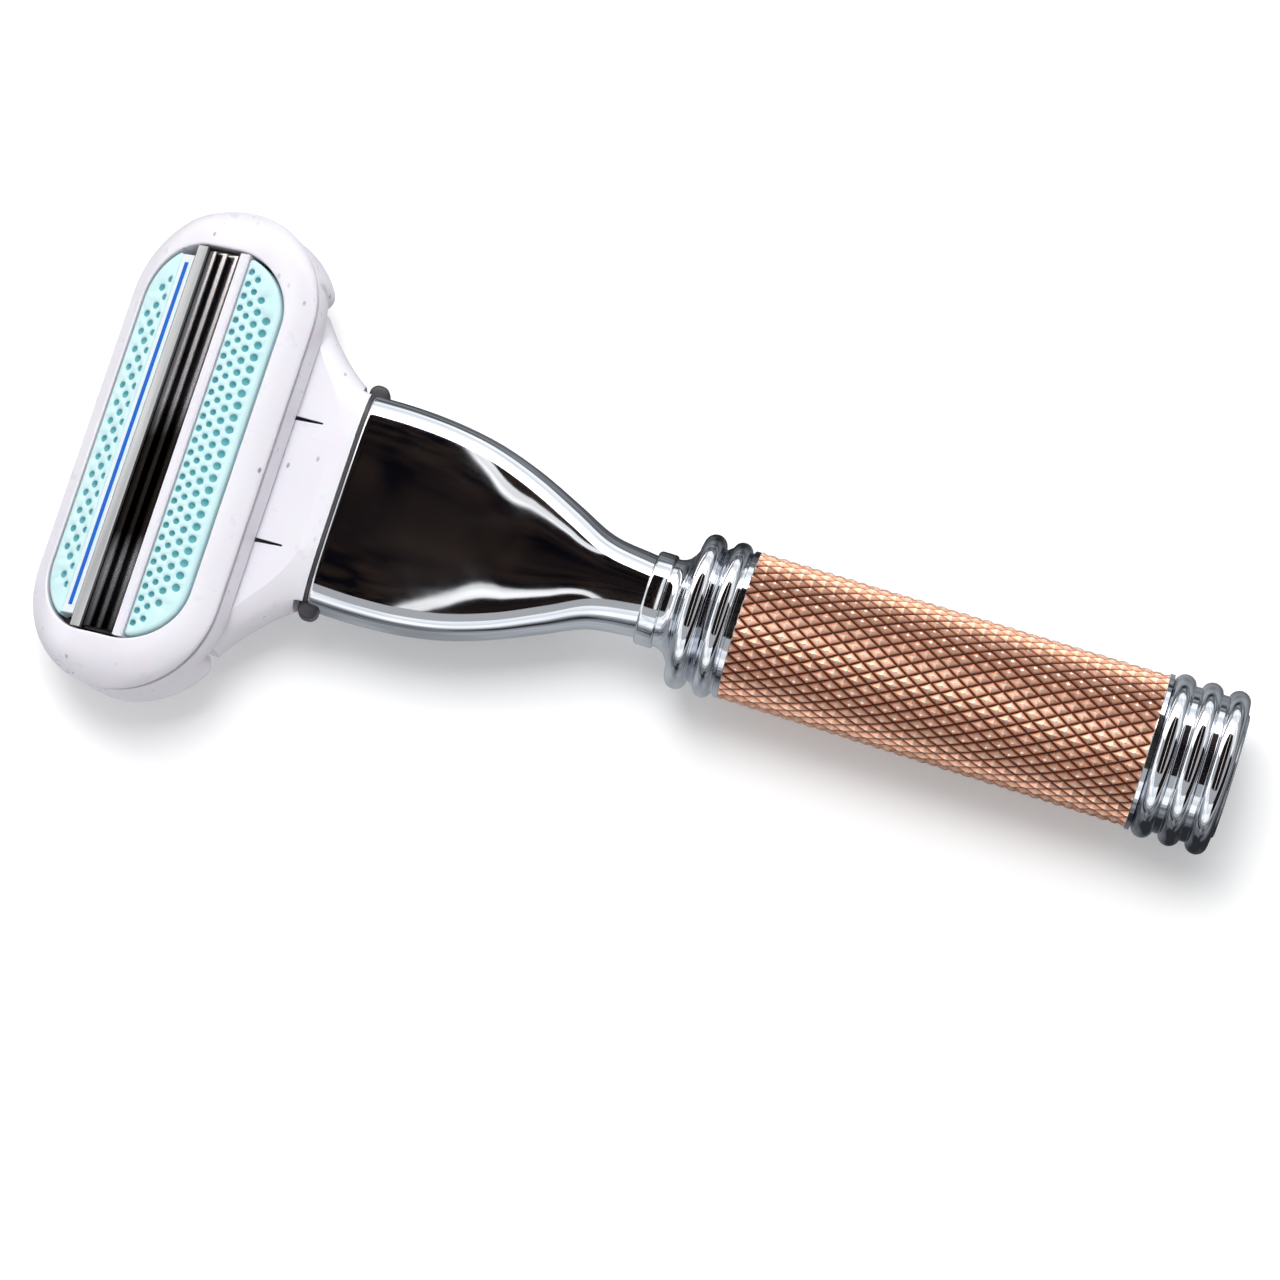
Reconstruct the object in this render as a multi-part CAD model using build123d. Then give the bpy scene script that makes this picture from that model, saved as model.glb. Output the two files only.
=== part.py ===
"""Safety razor with a knurled metal handle and a pivoting, cushioned three-blade head.

Handle frame: X runs from the head to the rear cap along the handle axis, Y across,
Z up. The finished razor lies on its back on Z = 0, centred on X = Y = 0.
"""
import os
from math import copysign, cos, pi, sin, sqrt

from build123d import *

past = 1.0
wide = 12.0

# ---- handle ----
sleeve_len = 36.3
sleeve_r_front = 6.6
sleeve_r_rear = 6.8
core_r = 3.0
core_front = -6.5
core_rear = 41.5
stud_r = 1.8
stud_front = -16.0
stud_rear = -1.0

# ---- chrome collar: (station, radius) outline, then (station, half width) of each bead ----
collar_front = -8.4
collar_outline = [
    (-8.4, 3.85), (-8.0, 4.15), (-6.9, 4.15), (-6.5, 3.95), (-5.9, 4.1), (-5.4, 4.7),
    (-4.9, 5.7), (-4.0, 6.2), (-0.6, 6.3), (-0.5, 6.5), (0.0, 6.5),
]
collar_beads = [(-4.0, 0.95), (-1.6, 0.85)]
bead_r = 6.9

# ---- chrome rear cap: the same, with stations counted from the sleeve's rear end ----
cap_outline = [(0.0, 6.9), (0.45, 6.9), (0.6, 6.5), (6.6, 6.5), (7.3, 5.9), (7.5, 5.2)]
cap_beads = [(1.45, 0.98), (3.85, 0.98), (6.25, 0.98)]
cap_bead_r = 7.25

# ---- chrome neck: station, half width, half height, squareness of the section ----
mouth_x = -35.9
neck_sections = [
    (-35.9, 9.70, 3.80, 3.4),
    (-32.0, 9.75, 3.75, 3.4),
    (-28.0, 9.50, 3.65, 3.3),
    (-24.0, 8.80, 3.55, 3.1),
    (-20.0, 7.50, 3.45, 2.8),
    (-16.0, 5.75, 3.45, 2.5),
    (-12.5, 4.20, 3.50, 2.2),
    (-8.4, 3.65, 3.60, 2.0),
]
section_points = 28

notch_y = 8.0
notch_h = 1.5
notch_room = 1.2

# ---- docking socket in the neck ----
pocket_w = 8.2
pocket_h = 2.3
pocket_depth = 8.6
flange_t = 0.25
shoulder_gap = 0.1
flange_inset = 0.15
plate_gap = 0.1
block_w = 6.3
plate_t = 0.5
tenon_w = 5.4
tenon_h = 1.2
tenon_len = 6.8
tenon_gap = 0.1
tenon_room = 0.3

# ---- release tabs, rocking on upright pins ----
tab_pivot_x = -31.6
tab_pivot_y = 7.25
tab_t = 0.8
tab_half_len = 3.7
tab_nose = 0.3
tab_half_h = 1.3
tab_boss_r = 0.85
tab_clear = 0.1
tab_pin_r = 0.5
pin_gap = 0.05
ear_x = -35.7
ear_len = 1.8
ear_h = 2.4
ear_y = 10.7
ear_corner = 0.8
ear_edge = 0.6

# ---- pivoting head: own frame, U towards the handle, V out of the shaving face ----
head_x = -50.85
head_z = 1.15
head_tilt = 20.0
bezel_len = 43.6
bezel_w = 17.8
bezel_base = -0.2
bezel_rim = 0.5
face_r = 20.0
face_u = 0.5
face_top = 2.76
crown_half_v = 2.5
end_drop = 5.8
opening_u = -0.4
opening_w = 14.2
opening_len = 35.4
opening_r = 5.5
parting = 0.3
parting_depth = 0.3
shell_len = 43.4
shell_w = 17.6
shell_wall = 1.0
shell_ring_v = -2.3
shell_back_v = -6.2
shell_round = 2.2
shell_cap_wall = 1.3
pod_y = 15.8
pod_round = 1.2
pivot_u = 1.0
pivot_v = -3.75
trunnion_r = 1.0
trunnion_end = 17.6
trunnion_gap = 0.3
bore_lap = 1.0

# ---- blade deck ----
deck_back = -2.2
deck_floor = 0.3
deck_gap = 0.15
deck_clear = 0.1
cushion_gap = 0.12
cap_cushion = (-7.25, -4.35)
strip = (-4.27, -3.05)
cap_bar = (-2.97, -1.97)
guard_bar = (1.36, 2.25)
guard_cushion = (2.33, 6.60)
bar_len = 35.0
strip_len = 33.0
line_len = 31.6
line_w = 0.42
line_floor = 2.0
bar_steps = 6
cap_bar_floor = 2.25
cap_bar_foot = 0.35
ridge_r = 0.14
ridge_inset = 0.2
edge_drop = 0.1
blade_edges = [-1.05, 0.05, 1.15]
blade_len = 34.4
blade_w = 1.7
blade_t = 0.12
blade_angle = 25.0
support_t = 0.25
support_start = 0.55
support_seat = 0.75
support_heel = 0.12
clip_u = (-1.85, 1.3)
clip_y = (16.7, 17.4)
clip_top = 1.9

# ---- yoke ----
shoulder_x = mouth_x - flange_t - shoulder_gap
yoke_h = 3.3
arm_out = 15.5
arm_in = 11.5
tongue_w = 5.3
slot_y = 5.6
slot_half = (0.08, 0.27)
slot_tip_x = -39.3
window_x = -43.4
bridge_len = 3.2
window_h = 20.0
shoulder_run = 1.6
shoulder_drop = 0.15
yoke_top = [(8.9, -2.6), (0.2, -2.6), (-1.2, -3.3)]
yoke_heel = [(-1.2, -4.6), (-0.2, -5.2)]
yoke_belly = (-44.0, -3.7)
yoke_far = -53.0
yoke_stations = [
    (shoulder_x, 9.85, 3.45, 3.2, 0.0),
    (-37.8, 10.8, 4.0, 2.9, -0.6),
    (-39.3, 12.1, 4.5, 2.8, -1.1),
    (-40.8, 13.7, 4.9, 2.7, -1.7),
    (-42.5, 15.9, 5.3, 2.8, -2.3),
    (-45.0, 19.4, 8.0, 4.0, -3.0),
    (yoke_far, 22.0, 10.0, 4.0, -3.0),
]

# ---- lying pose ----
lie_angle = -0.146


def head_point(u, v):
    t = head_tilt * pi / 180
    return (head_x + u * cos(t) - v * sin(t), head_z + u * sin(t) + v * cos(t))


def on_head(shape):
    return Location((head_x, 0, head_z), (0, -head_tilt, 0)) * shape


def face_v(u):
    return face_top - face_r + sqrt(face_r**2 - (u - face_u) ** 2)


def block(x0, x1, y0, y1, z0, z1):
    centre = ((x0 + x1) / 2, (y0 + y1) / 2, (z0 + z1) / 2)
    return Pos(*centre) * Box(abs(x1 - x0), abs(y1 - y0), abs(z1 - z0))


def turned(points):
    """Solid of revolution about X from (x, r) points, closed on the axis."""
    outline = Polyline(*[(x, r) for x, r in points], close=True)
    return revolve(make_face(outline), Axis.X, 360)


def rod(r, x0, x1):
    return Pos((x0 + x1) / 2, 0, 0) * (Rot(0, 90, 0) * Cylinder(r, x1 - x0))


def cross_rod(r, x, z, y0, y1):
    return Pos(x, (y0 + y1) / 2, z) * (Rot(90, 0, 0) * Cylinder(r, abs(y1 - y0)))


def section(x, w, h, n, z0=0.0):
    """Closed superellipse on the YZ plane at station x, centred at height z0."""
    pts = []
    for i in range(section_points):
        a = 2 * pi * i / section_points
        y = w * copysign(abs(cos(a)) ** (2 / n), cos(a))
        z = h * copysign(abs(sin(a)) ** (2 / n), sin(a))
        pts.append((x, y, z + z0))
    return Face(Wire(Spline(*pts, periodic=True)))


def slot_plate(length, width, v0, v1):
    return Pos(0, 0, v0) * extrude(SlotOverall(length, width, rotation=90), v1 - v0)


# ---------------------------------------------------------------- handle pieces
def handle_core():
    return rod(core_r, core_front, core_rear) - rod(stud_r, core_front, stud_rear)


def handle_sleeve():
    tube = turned([(0, 0), (0, sleeve_r_front), (sleeve_len, sleeve_r_rear), (sleeve_len, 0)])
    return tube - rod(core_r, 0, sleeve_len)


def bead(x, r, size):
    return Pos(x, 0, 0) * (Rot(0, 90, 0) * Torus(r - size, size))


def beaded(outline, beads, outer, start):
    """Turned ring with half-round beads; outline and beads are counted from start."""
    points = [(start + x, r) for x, r in outline]
    body = turned([(points[0][0], 0), *points, (points[-1][0], 0)])
    for x, size in beads:
        body += bead(start + x, outer, size)
    return body


def front_collar():
    body = beaded(collar_outline, collar_beads, bead_r, 0)
    return body - rod(core_r, core_front, 0) - rod(stud_r, collar_front, core_front)


def rear_cap():
    body = beaded(cap_outline, cap_beads, cap_bead_r, sleeve_len)
    return body - rod(core_r, sleeve_len, core_rear)


def neck_stud():
    return rod(stud_r, stud_front, stud_rear)


def neck_shell():
    body = loft([section(*s) for s in neck_sections])
    pocket_end = mouth_x + pocket_depth
    body -= block(mouth_x - past, pocket_end, -pocket_w, pocket_w, -pocket_h, pocket_h)
    notch_end = ear_x + notch_room
    for side in (-1, 1):
        body -= block(mouth_x - past, notch_end, notch_y * side, wide * side, -notch_h, notch_h)
    return body - rod(stud_r, stud_front, collar_front)


def docking_insert():
    end = mouth_x + pocket_depth
    mouth_w, mouth_h, mouth_n = neck_sections[0][1:]
    plate = section(
        mouth_x - flange_t, mouth_w - flange_inset, mouth_h - flange_inset, mouth_n
    )
    flange = extrude(plate, flange_t, dir=(1, 0, 0))
    core = block(mouth_x, end, -block_w, block_w, -pocket_h, pocket_h)
    body = flange + core
    for z in (pocket_h - plate_t, -pocket_h):
        reach = pocket_w - plate_gap
        body += block(mouth_x, end, -reach, reach, z, z + plate_t)
    tw = tenon_w + tenon_gap
    th = tenon_h + tenon_gap
    body -= block(mouth_x - past, shoulder_x + tenon_len + tenon_room, -tw, tw, -th, th)
    for side in (-1, 1):
        body -= block(mouth_x - past, mouth_x, block_w * side, wide * side, -notch_h, notch_h)
        pin = Pos(tab_pivot_x, tab_pivot_y * side, 0) * Cylinder(tab_pin_r, 2 * pocket_h)
        body -= pin
    return body


def tab_pins():
    pins = [
        Pos(tab_pivot_x, tab_pivot_y * side, 0) * Cylinder(tab_pin_r, 2 * pocket_h)
        for side in (-1, 1)
    ]
    return Compound(children=pins)


def release_tab(side):
    h = pocket_h - plate_t - tab_clear
    x0 = tab_pivot_x - tab_half_len - tab_nose
    x1 = tab_pivot_x + tab_half_len
    y0 = tab_pivot_y - tab_t / 2
    y1 = tab_pivot_y + tab_t / 2
    bar = block(x0, x1, y0, y1, -tab_half_h, tab_half_h)
    boss = Pos(tab_pivot_x, tab_pivot_y, 0) * Cylinder(tab_boss_r, 2 * h)
    ear = block(ear_x - ear_len / 2, ear_x + ear_len / 2, y0, ear_y, -ear_h / 2, ear_h / 2)
    outer = ear.edges().filter_by(Axis.Z).sort_by(Axis.Y)[-2:]
    ear = fillet(outer, ear_corner)
    ear = fillet(ear.faces().sort_by(Axis.Y)[-1].edges().filter_by(Axis.X), ear_edge)
    body = bar + boss + ear
    body -= Pos(tab_pivot_x, tab_pivot_y, 0) * Cylinder(tab_pin_r + pin_gap, 4 * h)
    return body if side > 0 else mirror(body, Plane.XZ)


# ---------------------------------------------------------------- yoke
def yoke_blank():
    """Side profile crossed with the plan, inside the soft-cornered envelope."""
    side = [(shoulder_x, yoke_h), (shoulder_x - shoulder_run, yoke_h - shoulder_drop)]
    side += [head_point(u, v) for u, v in yoke_top + yoke_heel]
    side += [yoke_belly, (shoulder_x, -yoke_h)]
    profile = extrude(Plane.XZ * make_face(Polyline(*side, close=True)), 2 * wide, both=True)
    plan = block(yoke_far, shoulder_x, -arm_out, arm_out, -wide, wide)
    return profile & plan & loft([section(*s) for s in yoke_stations])


def yoke_slot(side):
    """Tapering slot from the window's edge to its pointed end."""
    w0, w1 = slot_half
    y = side * slot_y
    outline = Polyline(
        (slot_tip_x, y - w0), (slot_tip_x, y + w0), (window_x, y + w1), (window_x, y - w1),
        close=True,
    )
    return extrude(make_face(outline), wide, both=True)


def yoke():
    body = yoke_blank()
    far = window_x - 2 * wide
    for s in (-1, 1):
        body -= block(window_x, far, tongue_w * s, arm_in * s, -window_h, window_h)
        body -= yoke_slot(s)
        notch_w = (block_w - plate_gap) * s
        low = -notch_h - 2 * plate_gap
        body -= block(mouth_x, ear_x - notch_room - plate_gap, notch_w, wide * s, low, -low)
    body -= block(window_x - bridge_len, far, -tongue_w, tongue_w, -window_h, window_h)
    end = shoulder_x + tenon_len
    body += block(shoulder_x, end, -tenon_w, tenon_w, -tenon_h, tenon_h)
    px, pz = head_point(pivot_u, pivot_v)
    for s in (-1, 1):
        body += cross_rod(trunnion_r, px, pz, arm_out * s, trunnion_end * s)
    return body


# ---------------------------------------------------------------- head pieces
def end_profile():
    """Side view of the bezel: a straight run whose ends drop in quarter ellipses."""
    flat = bezel_len - 2 * end_drop
    outline = Pos(0, bezel_rim) * Rectangle(flat, 2 * crown_half_v)
    for s in (-1, 1):
        outline += Pos(s * flat / 2, bezel_rim) * Ellipse(end_drop, crown_half_v)
    return outline + Pos(0, bezel_rim - past) * Rectangle(bezel_len + past, 2 * past)


def front_bezel():
    body = slot_plate(bezel_len, bezel_w, bezel_base, 2 * crown_half_v)
    crown = Rot(90, 0, 0) * Cylinder(face_r, 2 * bezel_len)
    body &= Pos(face_u, 0, face_top - face_r) * crown
    body &= extrude(Plane.YZ * end_profile(), wide, both=True)
    opening = RectangleRounded(opening_w, opening_len, opening_r)
    return body - Pos(opening_u, 0, -wide / 2) * extrude(opening, wide)


def rear_shell():
    top = bezel_base - parting
    back = slot_plate(shell_len, shell_w, shell_back_v, shell_ring_v)
    back = fillet(back.faces().sort_by(Axis.Z)[0].edges(), shell_round)
    bay = shell_cap_wall - shell_w / 2
    back -= block(bay, wide, -pod_y, pod_y, shell_back_v - past, 0)
    upright = back.edges().filter_by(Axis.Z).sort_by(Axis.X)[-2:]
    back = fillet(upright, pod_round)
    inner_len = shell_len - 2 * shell_wall
    inner_w = shell_w - 2 * shell_wall
    ring = slot_plate(shell_len, shell_w, shell_ring_v, top)
    hollow = slot_plate(inner_len, inner_w, shell_ring_v, past)
    body = back + (ring - hollow)
    bore = trunnion_r + pin_gap
    for s in (-1, 1):
        end = trunnion_end + trunnion_gap
        body -= cross_rod(bore, pivot_u, pivot_v, (pod_y - bore_lap) * s, end * s)
    return body


def deck_outline(inset):
    return RectangleRounded(
        opening_w - 2 * inset, opening_len - 2 * inset, opening_r - inset
    )


def under_face(u0, u1, length, v0):
    """Bar along Y between u0 and u1 whose top follows the convex shaving face."""
    pts = [(u0, v0)]
    for i in range(bar_steps + 1):
        u = u0 + (u1 - u0) * i / bar_steps
        pts.append((u, face_v(u)))
    pts.append((u1, v0))
    return extrude(Plane.XZ * make_face(Polyline(*pts, close=True)), length / 2, both=True)


def blade(i):
    """Thin plate whose front edge sits just under the face and leans back from it."""
    plate = Pos(-blade_w / 2, 0, -blade_t / 2) * Box(blade_w, blade_len, blade_t)
    edge = blade_edges[i]
    return Pos(edge, 0, face_v(edge) - edge_drop) * (Rot(0, -blade_angle, 0) * plate)


def moved(point, direction, distance):
    return (point[0] + direction[0] * distance, point[1] + direction[1] * distance)


def blade_support(i):
    """Bent carrier: a strip under the blade and a leg down to the frame."""
    a = blade_angle * pi / 180
    across = (cos(a), sin(a))
    under = (sin(a), -cos(a))
    edge = blade_edges[i]
    tip = (edge, face_v(edge) - edge_drop)
    start = moved(moved(tip, across, -support_start), under, blade_t)
    far = moved(start, across, -support_seat)
    inner = far[0] + support_t
    pts = [
        start, far, (far[0], deck_floor), (inner, deck_floor),
        (inner, far[1] - support_heel),
        moved(start, under, support_t),
    ]
    bar = make_face(Polyline(*pts, close=True))
    return extrude(Plane.XZ * bar, blade_len / 2, both=True)


def blade_frame():
    top = bezel_base - parting
    inset = 2 * shell_wall + deck_clear
    plate = slot_plate(shell_len - inset, shell_w - inset, deck_back, top)
    rim = 2 * parting_depth
    plate += slot_plate(shell_len - rim, shell_w - rim, top, bezel_base)
    island = Pos(opening_u, 0, bezel_base) * extrude(
        deck_outline(deck_gap), deck_floor - bezel_base
    )
    body = plate + island
    for s in (-1, 1):
        body += block(*clip_u, clip_y[0] * s, clip_y[1] * s, deck_floor, clip_top)
    for i in range(3):
        body -= blade(i)
        body -= blade_support(i)
    return body


def cushion(span):
    bar = under_face(span[0], span[1], opening_len, deck_floor)
    outline = deck_outline(deck_gap + cushion_gap)
    limit = Pos(opening_u, 0, deck_floor) * extrude(outline, 2 * crown_half_v)
    return bar & limit


def lubricating_strip():
    bar = under_face(strip[0], strip[1], strip_len, deck_floor)
    mid = (strip[0] + strip[1]) / 2
    half_w, half_l = line_w / 2, line_len / 2
    return bar - block(mid - half_w, mid + half_w, -half_l, half_l, line_floor, 2 * line_floor)


def strip_line():
    mid = (strip[0] + strip[1]) / 2
    return under_face(mid - line_w / 2, mid + line_w / 2, line_len, line_floor)


def cap_bar_piece():
    bar = under_face(cap_bar[0], cap_bar[1], bar_len, cap_bar_floor)
    foot_end = cap_bar[0] + cap_bar_foot
    return bar + block(cap_bar[0], foot_end, -bar_len / 2, bar_len / 2, deck_floor, cap_bar_floor)


def guard_bar_piece():
    bar = under_face(guard_bar[0], guard_bar[1], bar_len, deck_floor)
    u = guard_bar[1] - ridge_inset
    ridge = Pos(u, 0, face_v(u) - ridge_r / 4) * (Rot(90, 0, 0) * Cylinder(ridge_r, bar_len))
    return bar + ridge


# ---------------------------------------------------------------- assembly
def assembly():
    pieces = {
        "handle_core": handle_core(),
        "handle_sleeve": handle_sleeve(),
        "front_collar": front_collar(),
        "rear_cap": rear_cap(),
        "neck_stud": neck_stud(),
        "neck_shell": neck_shell(),
        "docking_insert": docking_insert(),
        "tab_pins": tab_pins(),
        "release_tab_left": release_tab(1),
        "release_tab_right": release_tab(-1),
        "yoke": yoke(),
    }
    head = {
        "front_bezel": front_bezel(),
        "rear_shell": rear_shell(),
        "blade_frame": blade_frame(),
        "cap_cushion": cushion(cap_cushion),
        "guard_cushion": cushion(guard_cushion),
        "lubricating_strip": lubricating_strip(),
        "strip_line": strip_line(),
        "cap_bar": cap_bar_piece(),
        "guard_bar": guard_bar_piece(),
    }
    for i in range(3):
        head[f"blade_{i + 1}"] = blade(i)
        head[f"blade_support_{i + 1}"] = blade_support(i)
    for name, shape in head.items():
        pieces[name] = on_head(shape)
    return pieces


def main():
    os.makedirs("parts", exist_ok=True)
    pieces = {name: Rot(0, lie_angle, 0) * shape for name, shape in assembly().items()}
    boxes = [shape.bounding_box() for shape in pieces.values()]
    mid_x = (min(b.min.X for b in boxes) + max(b.max.X for b in boxes)) / 2
    floor_z = min(b.min.Z for b in boxes)
    shift = Pos(-mid_x, 0, -floor_z)
    print("shift", -mid_x, -floor_z)
    for name, shape in pieces.items():
        print(name, round(shape.volume, 1), len(shape.solids()))
        export_step(shift * shape, f"parts/{name}.step")


main()
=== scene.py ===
"""Safety razor: knurled rose-gold handle, chrome neck and caps, white pivoting cartridge."""
from math import acos, asin, copysign, cos, degrees, pi, radians, sin, sqrt, tau

import bmesh
import bpy
from mathutils import Matrix, Vector
from mathutils.geometry import delaunay_2d_cdt


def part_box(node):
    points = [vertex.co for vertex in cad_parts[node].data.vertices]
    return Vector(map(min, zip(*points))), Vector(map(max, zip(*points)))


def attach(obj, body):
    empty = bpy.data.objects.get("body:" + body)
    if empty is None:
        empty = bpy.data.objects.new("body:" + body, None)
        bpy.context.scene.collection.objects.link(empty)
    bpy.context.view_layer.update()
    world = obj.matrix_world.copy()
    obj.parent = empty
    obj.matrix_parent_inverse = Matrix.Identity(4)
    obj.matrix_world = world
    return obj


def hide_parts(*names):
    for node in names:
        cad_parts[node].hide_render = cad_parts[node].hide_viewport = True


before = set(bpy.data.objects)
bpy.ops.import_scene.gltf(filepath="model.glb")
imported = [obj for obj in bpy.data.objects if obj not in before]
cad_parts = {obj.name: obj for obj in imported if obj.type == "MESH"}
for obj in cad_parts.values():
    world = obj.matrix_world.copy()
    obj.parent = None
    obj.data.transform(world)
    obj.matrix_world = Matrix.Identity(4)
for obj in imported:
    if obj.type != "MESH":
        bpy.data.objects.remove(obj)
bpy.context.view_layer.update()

# ---------------------------------------------------------------- frames, in millimetres
MM = 0.001
LIE = radians(-0.146)  # pitch of the handle as it lies on its beads
CORE_MID = 17.5  # middle of the steel core, along the handle
HEAD_AT = (-50.85, 0.0, 1.15)  # the head's origin, in the handle's frame
HEAD_TILT = radians(20.0)


def box_centre(node):
    low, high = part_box(node)
    return (low + high) / 2


def handle_frame():
    """From millimetres in the handle's frame to metres in the row frame."""
    turn = Matrix.Rotation(LIE, 4, "Y")
    origin = box_centre("handle_core") - turn @ Vector((CORE_MID * MM, 0, 0))
    return Matrix.Translation(origin) @ turn @ Matrix.Scale(MM, 4)


HANDLE = handle_frame()
HEAD = HANDLE @ Matrix.Translation(HEAD_AT) @ Matrix.Rotation(-HEAD_TILT, 4, "Y")


# ---------------------------------------------------------------- mesh helpers
WELD_GAP = 0.0005  # millimetres


def finish_mesh(name, bm, place, sharp):
    """Turns a bmesh in local millimetres into an object in the row frame."""
    bmesh.ops.remove_doubles(bm, verts=bm.verts, dist=WELD_GAP)
    bmesh.ops.recalc_face_normals(bm, faces=bm.faces)
    mesh = bpy.data.meshes.new(name)
    bm.to_mesh(mesh)
    bm.free()
    mesh.transform(place)
    mesh.shade_smooth()
    mesh.set_sharp_from_angle(angle=radians(sharp))
    piece = bpy.data.objects.new(name, mesh)
    bpy.context.scene.collection.objects.link(piece)
    return piece


def settle(piece, body, nodes, slot, *materials):
    """Gives a piece its materials and its body, and hides the CAD nodes it replaces; the slot
    is not used.
    """
    for material in materials:
        piece.data.materials.append(material)
    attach(piece, body)
    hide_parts(*nodes)
    return piece


def bridge(bm, loops, material=0):
    """Quads between neighbouring closed loops of vertices; all loops are equally long."""
    for a, b in zip(loops, loops[1:]):
        count = len(a)
        for i in range(count):
            j = (i + 1) % count
            corners = list(dict.fromkeys((a[i], a[j], b[j], b[i])))
            if len(corners) > 2:
                bm.faces.new(corners).material_index = material


def loft(bm, rows, caps=(False, False)):
    """A skin over rows of points, with its first and last row closed on request."""
    loops = [[bm.verts.new(p) for p in row] for row in rows]
    bridge(bm, loops)
    for loop, capped in zip((loops[0], loops[-1]), caps):
        if capped:
            bm.faces.new(loop)


def turned_rows(profile, steps):
    """Rings about X through (x, r) points."""
    return [
        [(x, r * cos(tau * i / steps), r * sin(tau * i / steps)) for i in range(steps)]
        for x, r in profile
    ]


def arc(cx, cy, r, a0, a1, steps):
    """Points on a circle from angle a0 to a1, in degrees."""
    angles = [radians(a0 + (a1 - a0) * i / steps) for i in range(steps + 1)]
    return [(cx + r * cos(a), cy + r * sin(a)) for a in angles]


def noise_value(i, j):
    """Repeatable value from 0 to 1 for a lattice place."""
    return (sin(i * 12.9898 + j * 78.233) * 43758.5453) % 1.0


# ---------------------------------------------------------------- material helpers
NOISE_SPAN = (0.3, 0.7)  # where most values of a noise lie


class Shader:
    """A Principled material with short calls for the nodes that feed it."""

    def __init__(self, name, **values):
        self.material = bpy.data.materials.new(name)
        self.material.use_nodes = True
        self.tree = self.material.node_tree
        self.main = self.tree.nodes["Principled BSDF"]
        self.coordinates = self.add("ShaderNodeTexCoord").outputs["Object"]
        for key, value in values.items():
            self.main.inputs[key.replace("_", " ")].default_value = value

    def add(self, kind, inputs=None, **settings):
        node = self.tree.nodes.new(kind)
        for key, value in settings.items():
            setattr(node, key, value)
        for key, value in (inputs or {}).items():
            self.feed(node.inputs[key], value)
        return node

    def feed(self, socket, value):
        if isinstance(value, bpy.types.NodeSocket):
            self.tree.links.new(value, socket)
        else:
            socket.default_value = value

    def stretched(self, scale):
        inputs = {"Vector": self.coordinates, "Scale": scale}
        return self.add("ShaderNodeMapping", inputs).outputs[0]

    def noise(self, scale, detail=3.0, rough=0.5, stretch=None):
        """Noise of this many waves per unit of the object, drawn out on request."""
        vector = self.stretched(stretch) if stretch else self.coordinates
        inputs = {"Vector": vector, "Scale": scale, "Detail": detail, "Roughness": rough}
        return self.add("ShaderNodeTexNoise", inputs).outputs[0]

    def specks(self, scale, stretch):
        inputs = {"Vector": self.stretched(stretch), "Scale": scale}
        return self.add("ShaderNodeTexVoronoi", inputs).outputs["Distance"]

    def hollows(self, reach):
        """Low in narrow gaps and high on open surfaces, within a reach in metres; a mask for
        painted shade.
        """
        node = self.add("ShaderNodeAmbientOcclusion", {"Distance": reach}, only_local=True)
        return node.outputs["AO"]

    def remap(self, value, low, high, to_low=0.0, to_high=1.0):
        inputs = {"Value": value, "From Min": low, "From Max": high}
        inputs.update({"To Min": to_low, "To Max": to_high})
        return self.add("ShaderNodeMapRange", inputs).outputs[0]

    def product(self, a, b):
        return self.add("ShaderNodeMath", {0: a, 1: b}, operation="MULTIPLY").outputs[0]

    def mix(self, share, a, b):
        inputs = {0: share, 6: a, 7: b}  # the sockets that a colour mix uses
        return self.add("ShaderNodeMix", inputs, data_type="RGBA").outputs[2]

    def attribute(self, name):
        return self.add("ShaderNodeAttribute", attribute_name=name).outputs["Fac"]

    def colour(self, value):
        self.feed(self.main.inputs["Base Color"], value)

    def rough(self, noise, low, high, span=NOISE_SPAN):
        """Roughness that runs from low to high with a noise."""
        self.feed(self.main.inputs["Roughness"], self.remap(noise, *span, low, high))

    def bump(self, height, depth, strength):
        inputs = {"Height": height, "Distance": depth, "Strength": strength}
        self.feed(self.main.inputs["Normal"], self.add("ShaderNodeBump", inputs).outputs[0])


def rgb(red, green, blue):
    """Linear colour from sRGB values of 0 to 255."""
    def linear(c):
        c /= 255
        return c / 12.92 if c <= 0.04045 else ((c + 0.055) / 1.055) ** 2.4
    return (linear(red), linear(green), linear(blue), 1.0)


# ---------------------------------------------------------------- materials
FINE, COARSE = 0.00001, 0.00002  # depths of bump, in metres
# In every call the noise scale comes first, then its detail, roughness and stretch.


def white_plastic():
    """Glossy white with fine grey specks in patches, and painted shade that turns it near
    black inside its slots and gaps.
    """
    s = Shader(
        "white_plastic", Roughness=0.3, IOR=1.49, Coat_Weight=0.15,
        Subsurface_Weight=0.15, Subsurface_Scale=0.001,
    )
    clean = s.mix(s.noise(90.0), rgb(229, 227, 233), rgb(220, 217, 226))
    fleck = s.remap(s.specks(850.0, (1.0, 0.6, 1.0)), 0.16, 0.08)
    patch = s.remap(s.noise(160.0, 4.0), 0.54, 0.62)
    worn = s.mix(s.product(fleck, patch), clean, rgb(142, 138, 142))
    # Painted shade: near black where ambient occlusion finds a narrow slot or gap.
    gap_shade_mask = s.remap(s.hollows(0.0012), 0.15, 0.45)
    s.colour(s.mix(gap_shade_mask, rgb(14, 12, 13), worn))
    s.rough(s.noise(600.0, 4.0), 0.26, 0.4)
    s.bump(s.noise(1500.0), FINE, 0.4)
    return s.material


def chrome():
    """Mirror plating with faint smears."""
    s = Shader("chrome", Metallic=1.0, Roughness=0.05)
    s.colour(s.mix(s.noise(60.0), rgb(228, 231, 236), rgb(214, 218, 224)))
    s.rough(s.noise(90.0, 5.0, 0.6, (1.0, 2.5, 2.5)), 0.03, 0.10, span=(0.35, 0.75))
    s.bump(s.noise(350.0, 2.0), FINE, 0.25)
    return s.material


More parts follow.
